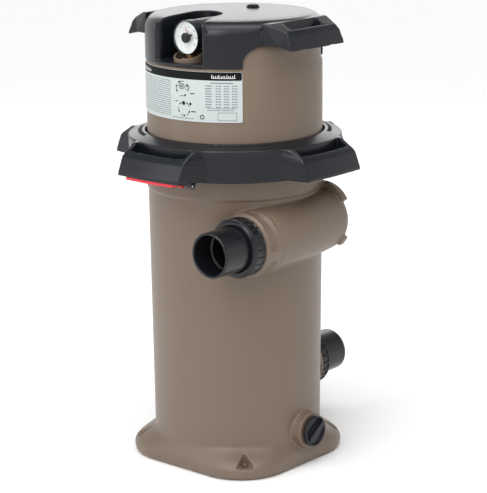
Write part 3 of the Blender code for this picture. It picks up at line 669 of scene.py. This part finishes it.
def make_cover():
    cover = solid("cover_shell", cover_outside())
    for side in (-1, 1):
        combine(cover, cover_handle(side))
    lining = [(r + 1.1, z + 1.3) for r, z in dome(0, 640.0)[3:-1]]
    cut(cover, lathe([(COVER_BORE, SKIRT_FOOT - 5)] + lining + [(6.0, 690.2)], FINE))
    liner = solid("liner", prism(pocket_outline(POCKET_LINER), SKIRT_FOOT, 692.0))
    combine(liner, disc(SKIRT_R - 0.8, SKIRT_FOOT - 5, 700, FINE), "INTERSECT")
    combine(cover, liner)
    cut(cover, prism(pocket_outline(), POCKET_FLOOR, 720))
    cowl = solid("cowl", place(disc(GAUGE_R - 0.4, 30, -GAUGE_BACK - 1, PORT), GAUGE, FRONT))
    combine(cowl, prism(pocket_outline(1.0), POCKET_FLOOR - 2, 720), "INTERSECT")
    combine(cover, cowl)
    cut(cover, place(disc(CUP_R + 1, SKIRT_FOOT - 5, POCKET_FLOOR + 5, PORT), (0, CUP_Y, 0), UP))
    cut(cover, place(disc(15.6, 682, 692.5), RELIEF, UP))
    cut(cover, place(disc(9.0, 685, 720), RELIEF, UP))
    for side in (-1, 1):
        cut(cover, hand_slot(side))
        cut(cover, arch_cutter(side))
    paint(mould(cover, 1.1, 4), "black")
    return piece(cover, "head", "black_plastic", "head_cover")


# ---------------- lock ring

def turned(outline, quarter):
    """Quarter turns of a plan outline about the tank's axis."""
    for _ in range(quarter):
        outline = [(-y, x) for x, y in outline]
    return outline


def ring_handle(quarter):
    """One of the four grips of the lock ring, drawn at -Y and turned in quarter turns."""
    rows = [(0.0, RING_LOW + 3, 0.0), (0.0, RING_LOW + 8, 0.0), (-4.0, 482.0, 0.0), (-9.0, 494.0, 0.0),
            (-13.0, 499.0, -1.0), (-19.0, 503.0, -2.0), (-35.0, 512.5, 0.0)]
    shares = [k / 4 for k in range(-4, 5)]
    inside, bulge = [(74.0, -135.0), (-74.0, -135.0)], 2.4
    rings = []
    for shift, z, wider in rows:
        half = HANDLE_HALF + wider
        reach = RING_REACH - 2.5 + shift
        face = [(half * share, -reach - bulge * (1 - share * share)) for share in shares]
        rings.append([(x, y, z) for x, y in turned(face + inside, quarter)])
    return loft(rings)


def ring_hole(quarter):
    """The cutter for the hand hole behind a grip."""
    inner = arc(RING_R + 1.2, -90 + 19.5, -90 - 19.5, 20)
    right = [(15.0, -180.0), (42.0, -178.2), (55.0, -176.0)]
    left = [(-x, y) for x, y in reversed(right)]
    return prism(turned(left + right + inner, quarter), RING_LOW - 10, RING_TOP + 10)


def deck_pockets():
    """Three-cornered recesses between the ribs of the ring's deck, in the four runs between the grips."""
    inner, outer, rib, run = 143.5, 160.0, 0.95, 39.0
    low, high, count = RING_TOP - 2.6, RING_TOP + 4, 9
    step = run / count
    shapes = []
    for quarter in range(4):
        start = 90 * quarter + 25.5
        for k in range(count):
            for flip in (0, 1):
                left = start + step * (k + 0.5 * flip) + rib * 0.5
                right = start + step * (k + 1 + 0.5 * flip) - rib * 0.5
                if right > start + run:
                    continue
                middle = (left + right) / 2
                wide, narrow = (inner, outer) if flip else (outer, inner)
                base = arc(wide, left, right, 4)
                tip = arc(narrow, middle + 0.35, middle - 0.35, 1)
                shapes.append(prism(base + tip, low, high))
    return join(shapes)


def make_ring():
    wall = [(RING_R, RING_LOW), (RING_R, 507.5), (RING_R + 1.2, 508.7), (RING_R + 1.2, 511.2),
            (RING_R, 512.6), (162.0, 513.2), (141.5, RING_TOP), (20.0, RING_TOP), (20.0, RING_LOW)]
    ring = solid("ring_shell", lathe(wall, FINE, closed=True))
    for quarter in range(4):
        combine(ring, ring_handle(quarter))
    cut(ring, disc(RING_BORE, RING_LOW - 5, FLANGE_TOP + 0.6, FINE))
    cut(ring, disc(RING_LIP, RING_LOW - 5, RING_TOP + 5, FINE))
    for quarter in range(4):
        cut(ring, ring_hole(quarter))
    for i in range(LUG_COUNT):
        middle = 360 * (i + 1) / LUG_COUNT
        combine(ring, sector(151.6, 161.5, LUG_TOP - 8, LUG_TOP, middle, LUG_HALF))
    for sign in (-1, 1):
        ear = arc(6.0, 180, 360, 12, (-164.8, 463.4)) + [(-158.8, 471.0), (-170.8, 471.0)]
        combine(ring, loft([[(x, y, z) for y, z in ear] for x in (sign * 46, sign * 62)]))
    cut(ring, place(disc(2.3, -70, 70, 24), (0, *LEVER_PIVOT), SIDE))
    mould(ring, 1.1, 4)
    paint(cut(ring, deck_pockets()), "black")
    return piece(ring, "lock_ring", "black_plastic", "lock_ring")


def make_lever():
    """The red safety lever and its pin."""
    pivot = (0, *LEVER_PIVOT)
    plan = [(-44.0, -171.5), (-49.0, -188.0), (-47.0, -194.5), (0.0, -196.8), (47.0, -194.5),
            (49.0, -188.0), (44.0, -171.5)]
    lever = solid("lever_plate", prism(plan, RING_LOW - 1.9, RING_LOW + 2.5))
    eye = [(-162.0, 458.0), (-163.2, 456.9), (-168.6, 456.9), (-170.4, 457.6), (-176.0, 462.5),
           (-176.0, 465.5), (-171.5, 465.5), (-162.0, 463.8)]
    for sign in (-1, 1):
        combine(lever, loft([[(x, y, z) for y, z in eye] for x in (sign * 34, sign * 44)]))
    cut(lever, place(disc(2.3, -70, 70, 24), pivot, SIDE))
    paint(soften(lever, 0.7), "red")
    piece(lever, "safety_lever", "red_plastic", "safety_lever")
    rod = lathe([(1.5, -61), (2.0, -60.4), (2.0, 60.4), (1.5, 61)], SMALL)
    piece(solid("pin_rod", place(rod, pivot, SIDE), "steel"), "lock_ring", "stainless_steel", "lever_pin")


def make_coil():
    """The lever's torsion spring: round wire wound about the pin."""
    turns, start, pitch, radius = 5, -8.0, 3.2, 2.8
    wire, per_turn, around = 0.45, 28, 10
    pivot, along = Vector((0, *LEVER_PIVOT)), Vector(SIDE)
    bends = [math.tau * k / around for k in range(around)]
    rings = []
    for i in range(turns * per_turn + 1):
        angle = math.tau * i / per_turn
        out = Vector((0, math.cos(angle), math.sin(angle)))
        centre = pivot + (start + pitch * i / per_turn) * along + radius * out
        rings.append([centre + wire * (math.cos(b) * out + math.sin(b) * along) for b in bends])
    piece(solid("spring_wire", loft(rings), "steel"), "lock_ring", "stainless_steel", "lever_spring")


# ---------------- label

def on_wall(along, height, radius):
    """A point on the head's wall, by its distance round the wall from the front centre line."""
    angle = along / HEAD_R
    return radius * math.sin(angle), -radius * math.cos(angle), height


def wrap(left, right, low, high, base=LABEL_FACE, depth=INK, corner=0.0):
    """A thin skin on the head's wall with straight or rounded corners."""
    bends = [math.radians(15 * k) for k in range(7)] if corner else [math.pi / 2]
    edge = [(corner * (1 - math.cos(t)), corner * (1 - math.sin(t))) for t in bends]
    flat = right - left - 2 * edge[-1][0]
    count = max(1, round(flat / 3))
    columns = [(left + shift, inset) for shift, inset in edge]
    columns += [(left + edge[-1][0] + flat * k / count, 0.0) for k in range(1, count)]
    columns += [(right - shift, inset) for shift, inset in reversed(edge)]
    rings = []
    for along, inset in columns:
        foot, head, face = low + inset, high - inset, base + depth
        spots = ((base, foot), (base, head), (face, head), (face, foot))
        rings.append([on_wall(along, z, r) for r, z in spots])
    return loft(rings)


def printed_lines(left, right, top, rows, step, height):
    """Rows of short bars that stand for small print."""
    shapes = []
    for row in range(rows):
        along, turn = left, row
        z = top - row * step
        while along < right - 3:
            end = min(along + 4 + (turn * 7 % 5) * 2.2, right)
            shapes.append(wrap(along, end, z - height, z))
            along, turn = end + 1.3, turn + 3
    return shapes


def printed_ring(along, height, radius, width, flat=1.0):
    rings, sides = [], 28
    for i in range(sides):
        turn = math.tau * i / sides
        a, b = math.cos(turn), math.sin(turn) * flat
        spots = ((radius, 0), (radius + width, 0), (radius + width, INK), (radius, INK))
        rings.append([on_wall(along + r * a, height + r * b, LABEL_FACE + lift) for r, lift in spots])
    return loft(rings, closed=True)


def printed_table(left, top):
    """A table of short bars: a heading, four columns and eight rows."""
    shapes = [wrap(left + 8, left + 42, top - 1.6, top)]
    for row in range(9):
        z = top - 4.4 - row * 3.9
        shapes.append(wrap(left, left + 11 - row % 3, z - 1.5, z))
        for k in range(3):
            along = left + 16 + 12 * k
            shapes += [wrap(along, along + 3.4, z - 1.5, z), wrap(along + 4.2, along + 8, z - 1.5, z)]
    return shapes


def printed_word(left, right, low, tall):
    """A run of upright strokes of uneven height that stands for a heading."""
    shapes, along, turn = [], left, 0
    while along < right - 1.5:
        wide = 1.6 + 0.5 * (turn * 5 % 3)
        high = low + tall * (1.0 if turn * 7 % 4 == 0 else 0.7)
        shapes += [wrap(along, along + 0.9, low, high, LABEL_FACE + INK),
                   wrap(along, along + wide, low, low + 0.9, LABEL_FACE + INK)]
        along, turn = along + wide + 0.7, turn + 1
    return shapes


def printed_arrows(along, height, radius, width, starts, sweep, flat=1.0):
    """Curved strokes on a circle that widen into a head, as arrows round a valve are drawn."""
    shapes, steps = [], 8
    for start in starts:
        rings = []
        for k in range(steps + 1):
            share = k / steps
            turn = math.radians(start + sweep * share)
            half = width * (0.6 + 1.6 * (share > 0.7) * (1 - share) / 0.3) / 2
            ring = []
            for shift, lift in ((-half, 0), (half, 0), (half, INK), (-half, INK)):
                reach = radius + shift
                spot = (along + reach * math.cos(turn), height + reach * flat * math.sin(turn))
                ring.append(on_wall(*spot, LABEL_FACE + lift))
            rings.append(ring)
        shapes.append(loft(rings))
    return shapes


def printed_frame(left, right, low, high, line=0.5):
    foot, head = low + line, high - line
    return [wrap(left, right, low, foot), wrap(left, right, head, high),
            wrap(left, left + line, foot, head), wrap(right - line, right, foot, head)]


def make_label():
    half = HEAD_R * math.radians(LABEL_ANGLE)
    low, high = LABEL_LOW, LABEL_HIGH
    film = solid("label_film", wrap(-half, half, low, high, HEAD_R + 0.3, 0.6, 3.0), "film")
    piece(film, "head", "label", "front_label")
    header = wrap(-half + 0.6, half - 0.6, high - 12.6, high - 0.4, corner=2.4)
    piece(solid("label_header", header, "ink"), "head", "label")
    words = []
    for left, right in ((-100, -84), (-82, -60), (63, 100)):
        words += printed_word(left, right, high - 9.6, 5.6)
    piece(solid("label_marks", join(words), "white"), "head", "label")
    small = printed_lines(-103, -6, high - 16.5, 17, 3.2, 1.1) + printed_table(53, high - 15.5)
    small += printed_lines(56, 98, low + 21.5, 2, 2.8, 1.1) + printed_lines(-4, 34, low + 5, 1, 3, 1.1)
    piece(solid("label_small_print", join(small), "grey_ink"), "head", "label")
    bold = [printed_ring(14, high - 23.5, 4.0, 1.1, 0.9), printed_ring(14, high - 23.5, 0.9, 1.3),
            printed_ring(24, high - 25, 3.2, 0.8), printed_ring(48, low + 7.5, 2.2, 1.3)]
    bold += printed_arrows(15, high - 27, 10.5, 1.5, (70, 150, 250, 340), 62, 1.05)
    bold += printed_arrows(18, low + 18, 10.0, 1.4, (20, 95, 165, 235, 300), 48)
    bold += [wrap(3, 7, high - 24.4, high - 23.0), wrap(30, 38, low + 14, low + 15.4),
             wrap(29, 36, high - 34, high - 32.6), wrap(2, 6, low + 28, low + 29.4),
             wrap(15, 20, low + 23.5, low + 29.5, corner=2.4),
             wrap(27, 31, low + 24, low + 28, corner=1.9)]
    bold += printed_frame(72, 100, low + 3, low + 15)
    piece(solid("label_diagrams", join(bold), "ink"), "head", "label")


# ---------------- gauge

def numeral(text, size, x, y, low, depth):
    """Raised figures centred at x, y."""
    curve = bpy.data.curves.new("figures", "FONT")
    curve.body = text
    curve.size = size
    curve.align_x, curve.align_y = "CENTER", "CENTER"
    curve.extrude = depth / 2
    item = bpy.data.objects.new("figures", curve)
    bpy.context.scene.collection.objects.link(item)
    ready = item.evaluated_get(bpy.context.evaluated_depsgraph_get())
    mesh = bpy.data.meshes.new_from_object(ready)
    shape = bmesh.new()
    shape.from_mesh(mesh)
    bmesh.ops.remove_doubles(shape, verts=shape.verts, dist=0.0005)
    bmesh.ops.translate(shape, vec=(x, y, low + depth / 2), verts=shape.verts)
    bpy.data.objects.remove(item, do_unlink=True)
    bpy.data.meshes.remove(mesh)
    return shape


def at_clock(shape, angle):
    """Turns a shape drawn at straight up by an angle in degrees to the right."""
    return spin(shape, -angle)


def dial_print(level):
    """The dial's scale: 0 to 60 over 270 degrees, with ticks, figures and a small mark at the rim."""
    shapes = []
    for i in range(31):
        half, foot = (0.28, 18.2) if i % 5 == 0 else (0.16, 19.6)
        tick = prism([(-half, foot), (half, foot), (half, 21.4), (-half, 21.4)], level, level + INK)
        shapes.append(at_clock(tick, -135 + 9 * i))
    for i in range(7):
        angle, reach = math.radians(-135 + 45 * i), 14.6
        spot = (reach * math.sin(angle), reach * math.cos(angle))
        shapes.append(numeral(str(10 * i), 3.9, *spot, level, INK))
    shapes.append(sector(22.2, 22.8, level, level + INK, -45, 1, 2))
    return shapes


def make_gauge():
    """The gauge's case, bezel, dial and lens, with what they hold."""
    face, rim = -GAUGE_FRONT, DIAL_RIM
    case = [(GAUGE_R - 2.2, face - 19), (GAUGE_R - 1, face - 18.4), (GAUGE_R, face - 17),
            (GAUGE_R, face - 4), (rim + 0.2, face - 4), (rim + 0.2, face - 10), (1.9, face - 10),
            (1.9, face - 19)]
    shell = solid("gauge_shell", place(lathe(case, PORT, True), GAUGE, FRONT), "black")
    piece(soften(shell, 0.3, 2), "head", "black_plastic", "gauge_case")
    bezel = [(GAUGE_R, face - 3.7), (GAUGE_R, face - 1.4), (GAUGE_R - 0.4, face - 0.4),
             (GAUGE_R - 1.0, face), (rim + 0.1, face - 0.2), (rim - 0.3, face - 1.4),
             (rim - 0.3, face - 3.4), (rim, face - 3.7)]
    turned_piece("gauge_rim", bezel, PORT, GAUGE, FRONT, "black", "head", "black_plastic", "gauge_bezel")
    plate = [(1.6, face - 9.6), (rim - 0.1, face - 9.6), (rim - 0.1, face - 4.1), (rim - 0.7, face - 4.1),
             (rim - 1.5, face - 8.0), (rim - 2.0, face - 8.4), (1.6, face - 8.4)]
    turned_piece("dial_plate", plate, PORT, GAUGE, FRONT, "dial", "head", "dial", "gauge_dial")
    scale = place(join(dial_print(face - 8.4)), GAUGE, FRONT)
    piece(solid("dial_scale", scale, "ink"), "head", "dial")
    glass = [(2.6, face - 3.6), (10.0, face - 3.1), (rim - 4, face - 2.4), (rim - 0.5, face - 1.9),
             (rim - 0.5, face - 3.4), (10.0, face - 4.6), (2.6, face - 5.2)]
    turned_piece("lens_disc", glass, PORT, GAUGE, FRONT, "lens", "head", "clear_lens", "gauge_lens")
    make_needle(face)
    make_pointer(face)
    make_stem()


def make_needle(face):
    hand = [(-1.5, -5.0), (1.5, -5.0), (1.2, 4.0), (0.3, 17.3), (-0.3, 17.3), (-1.2, 4.0)]
    needle = solid("needle_hand", at_clock(prism(hand, face - 7.9, face - 7.2), -24))
    combine(needle, lathe([(1.2, face - 17), (1.2, face - 7.2), (2.3, face - 7.0), (2.3, face - 6.5),
                           (1.6, face - 6.3)], SMALL))
    needle.data.transform(facing(Vector(GAUGE) * MM, FRONT))
    paint(needle, "red")
    piece(soften(needle, 0.08, 2), "gauge_needle", "red_plastic", "gauge_needle")


def make_pointer(face):
    """The turning knob in the lens, with its pointer lobe."""
    profile = [(2.2, face - 6.0), (2.2, face - 2.9), (7.2, face - 2.9), (7.6, face - 2.3),
               (7.6, face + 0.6), (6.8, face + 1.6), (4.6, face + 2.0), (4.0, face + 1.4),
               (0.6, face + 1.2)]
    knob = solid("pointer_knob", lathe(profile, PORT))
    lobe = [(-3.4, 4.0), (3.4, 4.0), (2.2, 9.5), (0.9, 12.6), (-0.9, 12.6), (-2.2, 9.5)]
    combine(knob, at_clock(prism(lobe, face - 2.8, face + 0.9), 65))
    mould(knob, 0.22, 4)
    knob.data.transform(facing(Vector(GAUGE) * MM, FRONT))
    piece(paint(knob, "black"), "service_pointer", "black_plastic", "service_pointer")


def make_stem():
    """The brass stem: a threaded shank and a hexagon under the case."""
    low = BOSS_TOP + 0.3
    shank = [(3.8, 628.0)] + thread(4.6, 0.35, 628.5, 0.8, 13) + [(4.8, low), (6.4, low), (6.4, 642.4)]
    stem = solid("stem_shank", lathe(shank, SMALL))
    hexagon = solid("hexagon", lathe([(7.0, low), (7.0, GAUGE_Z - GAUGE_R - 0.4)], 6))
    rounding = lathe([(6.0, low - 1), (7.3, low + 0.6), (7.3, 641.9), (5.8, 643.6)], SMALL)
    combine(stem, combine(hexagon, rounding, "INTERSECT"))
    stem.data.transform(Matrix.Translation(Vector((0, STEM_Y, 0)) * MM))
    paint(stem, "brass")
    piece(soften(stem, 0.15, 2, 40), "head", "brass", "gauge_stem")


def make_relief():
    """The air relief valve's brass body, its seal and its ribbed knob."""
    body = [(4.4, 672.0)] + thread(4.8, 0.4, 672.6, 0.9, 20)
    body += [(4.8, 690.9), (7.6, 690.9), (8.0, 691.4), (8.0, 694.6), (7.6, 695.0), (6.2, 695.0),
             (6.2, 699.5), (4.4, 699.5), (4.4, 689.0), (1.5, 687.0), (1.5, 672.0)]
    turned_piece("relief_body", body, SMALL, RELIEF, UP, "brass", "head", "brass", "relief_valve_body")
    seal = solid("relief_ring", place(torus(2.9, 0.9, 692.6, SMALL), RELIEF, UP), "rubber")
    piece(seal, "relief_knob", "rubber", "relief_seal")
    knob = [(1.7, 691.0), (1.7, 700.3), (10.0, 700.3), (10.4, 700.7), (10.4, 701.5), (9.8, 701.9),
            (8.7, 702.0), (8.7, 702.2, 0.6), (8.7, 703.3, 0.6), (8.3, 703.8), (7.6, 704.1),
            (5.2, KNOB_TOP), (4.6, KNOB_TOP - 0.5), (0.6, KNOB_TOP - 0.6)]
    ribbed = lathe(knob, 144, wave=rib_wave(24, 0.5))
    cap = solid("relief_cap", place(ribbed, RELIEF, UP), "black")
    piece(cap, "relief_knob", "black_plastic", "relief_knob")


# ---------------- inside

def pleats(outer, inner, count, low, high):
    """Folded filter media between an outer and an inner radius, with rounded folds."""
    outline = []
    for i in range(count):
        for radius, shift in ((outer - 1, -0.16), (outer, -0.07), (outer, 0.07), (outer - 1, 0.16),
                              (inner + 1, 0.38), (inner, 0.46), (inner, 0.54), (inner + 1, 0.62)):
            angle = math.tau * (i + shift) / count
            outline.append((radius * math.cos(angle), radius * math.sin(angle)))
    rows = 12
    levels = [low + (high - low) * k / rows for k in range(rows + 1)]
    return loft([[(x, y, z) for x, y in outline] for z in levels])


def make_cartridge():
    """The pleated media and its two caps, which are drawn away from the media."""
    low, high = span("cartridge_bottom_cap", "z")[0], span("cartridge_top_cap", "z")[1]
    reach, thick = span("cartridge_top_cap", "x")[1], 12
    media = solid("media_pleats", pleats(reach - 3, 64, 90, low + 12.3, high - 12.3))
    cut(media, disc(38.5, low, high, PORT))
    piece(paint(media, "fabric"), "tank", "filter_fabric", "cartridge_media")
    for name, bore, outer, up in (("top", 8.0, high, 1), ("bottom", 31.5, low, -1)):
        inner = outer - thick * up
        cap = [(bore, inner), (reach - 1, inner), (reach, inner + up), (reach, outer - 2 * up),
               (reach - 0.8, outer - 0.8 * up), (reach - 2.4, outer), (reach - 9, outer),
               (reach - 11, outer - 2.5 * up), (62.0, outer - 2.5 * up), (60.0, outer), (bore + 3, outer),
               (bore, outer - 2 * up)]
        item = solid("cap_" + name, lathe(cap, FINE, True), "urethane")
        piece(soften(item, 0.6, 2), "tank", "cap_urethane", f"cartridge_{name}_cap")


def make_plumbing():
    """The vent tube with its strainer, the head's seal and the looks of the plain CAD pieces inside."""
    top, axis = span("vent_tube", "z")[1], (0, 0, 0)
    pipe = [(6.0, 42.0), (6.0, top), (4.0, top), (4.0, 42.0)]
    turned_piece("vent_pipe", pipe, SMALL, axis, UP, "white", "tank", "white_plastic", "vent_tube")
    cage = [(12.0, 640.3), (13.0, 642.0), (13.0, 643.5), (12.7, 644.0)]
    for k in range(9):
        groove = 645.0 + 2.4 * k
        cage += [(12.7, groove), (13.0, groove + 0.5), (13.0, groove + 1.2), (12.7, groove + 1.7)]
    cage += [(13.0, 667.4), (13.0, 668.0), (10.0, 671.0), (3.0, 671.0), (3.0, 668.0), (10.5, 666.0),
             (10.5, 644.0), (3.8, 644.0), (3.8, 640.3)]
    turned_piece("strainer_cage", cage, PORT, axis, UP, "mesh", "tank", "strainer_mesh", "vent_strainer")
    seal_low, seal_high = span("head_seal", "z")
    seal = torus(143.0, (seal_high - seal_low) / 2 + 0.3, TANK_TOP - 2.4, FINE)
    piece(solid("head_ring", seal, "rubber"), "tank", "rubber", "head_seal")
    for node in ("cartridge_core", "outlet_elbow"):
        paint(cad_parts[node], "white")


# ---------------- studio

CAMERA_AZIMUTH, CAMERA_ELEVATION, CAMERA_ROLL = 41.1, 13.97, -0.567
CAMERA_DISTANCE, CAMERA_AIM, CAMERA_LENS = 2.998, 0.329, 139.7


def from_side(azimuth, elevation):
    """The direction towards the viewer or lamp, by its angles in degrees round and above the front."""
    az, el = math.radians(azimuth), math.radians(elevation)
    return Vector((math.cos(el) * math.sin(az), -math.cos(el) * math.cos(az), math.sin(el)))


def make_camera():
    """The camera at the photograph's viewing angle."""
    az, roll = math.radians(CAMERA_AZIMUTH), math.radians(CAMERA_ROLL)
    back = from_side(CAMERA_AZIMUTH, CAMERA_ELEVATION)
    right = Vector((math.cos(az), math.sin(az), 0))
    tilted = math.cos(roll) * right + math.sin(roll) * back.cross(right)
    data = bpy.data.cameras.new("view")
    data.lens = CAMERA_LENS
    data.sensor_width = 36.0
    data.shift_x = 0.015
    data.clip_end = 200
    view = bpy.data.objects.new("view", data)
    turn = Matrix((tilted, back.cross(tilted), back)).transposed().to_4x4()
    view.matrix_world = Matrix.Translation(Vector((0, 0, CAMERA_AIM)) + CAMERA_DISTANCE * back) @ turn
    bpy.context.scene.collection.objects.link(view)
    bpy.context.scene.camera = view


def add_lamp(data, azimuth, elevation, power):
    """Puts a light on one side of the sky, turned towards the object."""
    data.energy = power
    lamp = bpy.data.objects.new(data.name, data)
    lamp.rotation_euler = from_side(azimuth, elevation).to_track_quat("Z", "Y").to_euler()
    bpy.context.scene.collection.objects.link(lamp)
    return lamp


def soft_light(name, azimuth, elevation, distance, size, power):
    data = bpy.data.lights.new(name, "AREA")
    data.shape = "RECTANGLE"
    data.size, data.size_y = size
    lamp = add_lamp(data, azimuth, elevation, power)
    lamp.location = Vector((0, 0, 0.35)) + distance * from_side(azimuth, elevation)


def soft_sun(azimuth, elevation, power, angle):
    """An even light from one side of the sky with soft shadows."""
    data = bpy.data.lights.new("sun", "SUN")
    data.angle = math.radians(angle)
    add_lamp(data, azimuth, elevation, power)


def make_room():
    """A world that is white round the horizon and dimmer overhead."""
    world = bpy.data.worlds.new("room")
    world.use_nodes = True
    tree = world.node_tree
    split = tree.nodes.new("ShaderNodeSeparateXYZ")
    link(tree, tree.nodes.new("ShaderNodeTexCoord").outputs["Generated"], split.inputs["Vector"])
    glow = spread(tree, split.outputs["Z"], 0.9, 0.3, 0.25, 0.6)
    link(tree, glow, tree.nodes["Background"].inputs["Strength"])
    tree.nodes["Background"].inputs["Color"].default_value = (1, 1, 1, 1)
    bpy.context.scene.world = world


def make_studio():
    """A pale floor, a white room and soft lights from above, the front, the left and behind."""
    floor = bmesh.new()
    bmesh.ops.create_grid(floor, x_segments=8, y_segments=8, size=40000)
    pale = finish_of("floor", (0.94, 0.94, 0.94), 0.9, 0.005, 3.0, 0.0, 0.6, specular=0.2)
    ground = solid("floor", floor)
    ground.data.materials.append(pale)
    make_room()
    soft_sun(25, 66, 2.1, 80)
    soft_light("top", 41, 76, 2.2, (1.7, 0.5), 12)
    soft_light("key", 12, 36, 2.4, (0.7, 1.4), 12)
    soft_light("strip", -35, 22, 2.4, (0.35, 1.6), 6)
    soft_light("rim", 215, 20, 3.0, (2.8, 1.0), 14)
    bpy.context.scene.view_settings.view_transform = "Standard"


# ---------------- all of it

make_tank()
make_union("upper_union", UPPER_FACE, UPPER_PORT, FRONT, "upper_nut")
make_union("lower_union", LOWER_FACE, LOWER_PORT, BACK, "lower_nut")
make_drain()
make_head()
make_cover()
make_ring()
make_lever()
make_coil()
make_label()
make_gauge()
make_relief()
make_cartridge()
make_plumbing()
make_studio()
make_camera()
